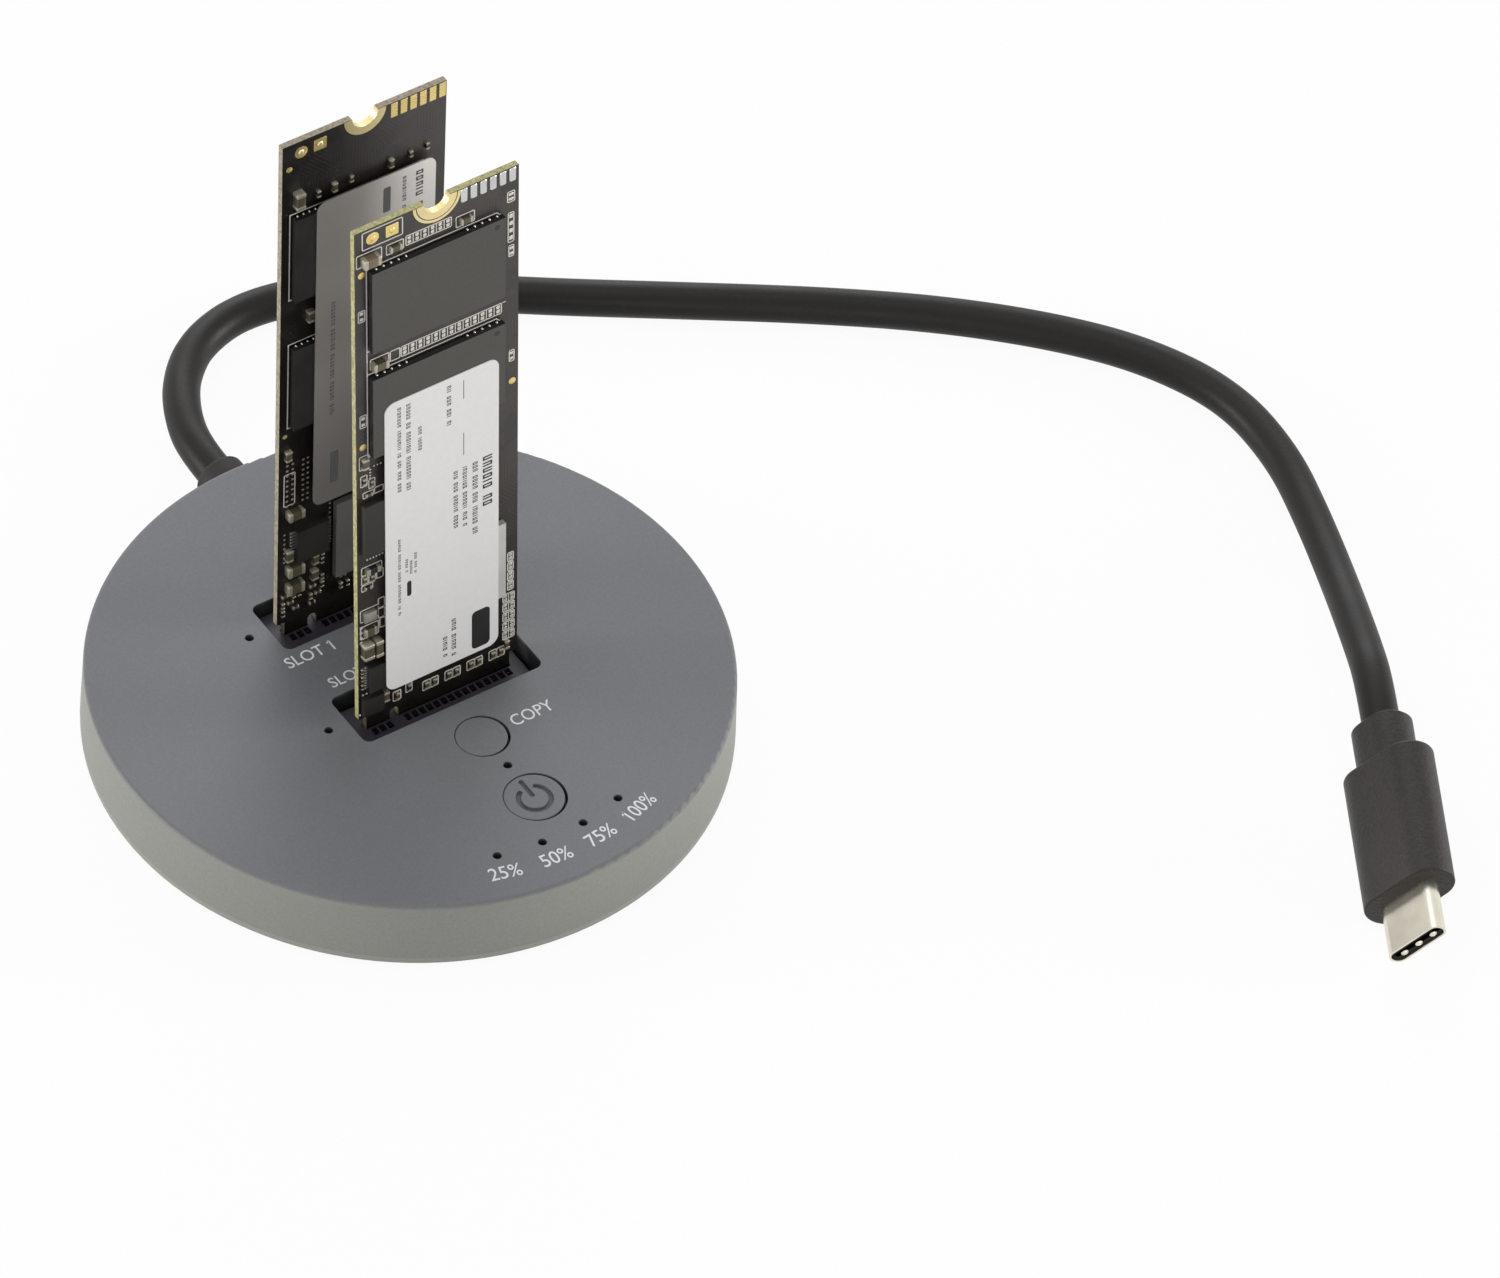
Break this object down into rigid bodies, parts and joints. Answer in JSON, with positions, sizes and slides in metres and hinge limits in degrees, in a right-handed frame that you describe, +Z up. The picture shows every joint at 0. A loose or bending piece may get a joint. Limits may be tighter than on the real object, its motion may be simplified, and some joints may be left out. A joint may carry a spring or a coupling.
{
  "type": "drive duplicator",
  "caption": "Round grey docking puck with solid-state drive cards standing in its top slots, flush push buttons, a percentage light scale and a fixed cord with a small oval plug.",
  "frame": {"origin": "centre of the puck on the surface it stands on", "axes": "+Z up, -Y towards the user and the percentage scale, +Y towards the cord's exit, +X to the user's right along the card slots"},
  "size_m": [0.1546, 0.1635, 0.0857],
  "materials": {
    "shell_grey": "fine matte moulded plastic",
    "base_grey": "fine matte moulded plastic",
    "soft_black": "matte soft rubber",
    "cord_black": "matte cord jacket",
    "board_green": "solder mask on glass board",
    "card_black": "dark solder mask on glass board",
    "chip_black": "moulded chip package",
    "lid_grey": "plated metal lid",
    "ceramic_tan": "chip capacitor body",
    "socket_grey": "moulded connector plastic",
    "contact_gold": "gold plated spring",
    "tin": "tinned metal",
    "screw_steel": "plated steel",
    "plug_steel": "bright nickel plate",
    "lens_clear": "smoked clear plastic",
    "lamp_white": "lamp package",
    "label_white": "matte printed label",
    "label_silver": "silver printed label",
    "header_white": "moulded connector plastic",
    "wire_jacket": "thin wire jacket"
  },
  "bodies": {
    "base": {"top_cover": "shell_grey", "bottom_cover": "base_grey", "case_screws": "screw_steel", "foot_pads": "soft_black", "main_board": "board_green", "copy_controller": "chip_black", "bridge_chips": "chip_black", "program_memory": "chip_black", "crystal": "tin", "power_inductors": "chip_black", "board_capacitors": "ceramic_tan", "status_lights": "lamp_white", "light_pipes": "lens_clear", "source_socket": "socket_grey", "target_socket": "socket_grey", "source_socket_contacts": "contact_gold", "target_socket_contacts": "contact_gold", "source_socket_tabs": "tin", "target_socket_tabs": "tin", "copy_switch_body": "chip_black", "power_switch_body": "chip_black", "cable_gland": "soft_black", "cable_tail": "cord_black", "cable_wires": "wire_jacket", "cable_header": "header_white", "usb_cable": "cord_black", "plug_overmould": "cord_black", "plug_shell": "plug_steel", "plug_insert": "chip_black", "plug_contacts": "contact_gold"},
    "copy_button": {"copy_button": "shell_grey"},
    "power_button": {"power_button": "shell_grey"},
    "copy_plunger": {"copy_switch_plunger": "header_white"},
    "power_plunger": {"power_switch_plunger": "header_white"},
    "source_drive": {"source_drive_board": "card_black", "source_drive_flash": "chip_black", "source_drive_controller": "lid_grey", "source_drive_power_chip": "chip_black", "source_drive_capacitors": "ceramic_tan", "source_drive_label": "label_silver"},
    "target_drive": {"target_drive_board": "card_black", "target_drive_flash": "chip_black", "target_drive_controller": "lid_grey", "target_drive_memory": "chip_black", "target_drive_power_chips": "chip_black", "target_drive_capacitors": "ceramic_tan", "target_drive_resistors": "chip_black", "target_drive_label": "label_white"}
  },
  "joints": [
    {"name": "copy_press", "type": "slide", "parent": "base", "child": "copy_button", "axis": [0, 0, -1], "range_m": [0, 0.0003], "stiffness_N_per_m": 600, "springref_m": -0.0005},
    {"name": "power_press", "type": "slide", "parent": "base", "child": "power_button", "axis": [0, 0, -1], "range_m": [0, 0.0003], "stiffness_N_per_m": 600, "springref_m": -0.0005},
    {"name": "copy_switch_press", "type": "slide", "parent": "base", "child": "copy_plunger", "axis": [0, 0, -1], "range_m": [0, 0.0003]},
    {"name": "power_switch_press", "type": "slide", "parent": "base", "child": "power_plunger", "axis": [0, 0, -1], "range_m": [0, 0.0003]},
    {"name": "source_drive_lift", "type": "slide", "parent": "base", "child": "source_drive", "axis": [-0.0037, 0.0246, 0.9997], "range_m": [0, 0.012]},
    {"name": "target_drive_lift", "type": "slide", "parent": "base", "child": "target_drive", "axis": [-0.0116, 0.0508, 0.9986], "range_m": [0, 0.012]}
  ],
  "couplings": [
    {"joint": "copy_switch_press", "follows": "copy_press", "ratio": 1},
    {"joint": "power_switch_press", "follows": "power_press", "ratio": 1}
  ]
}
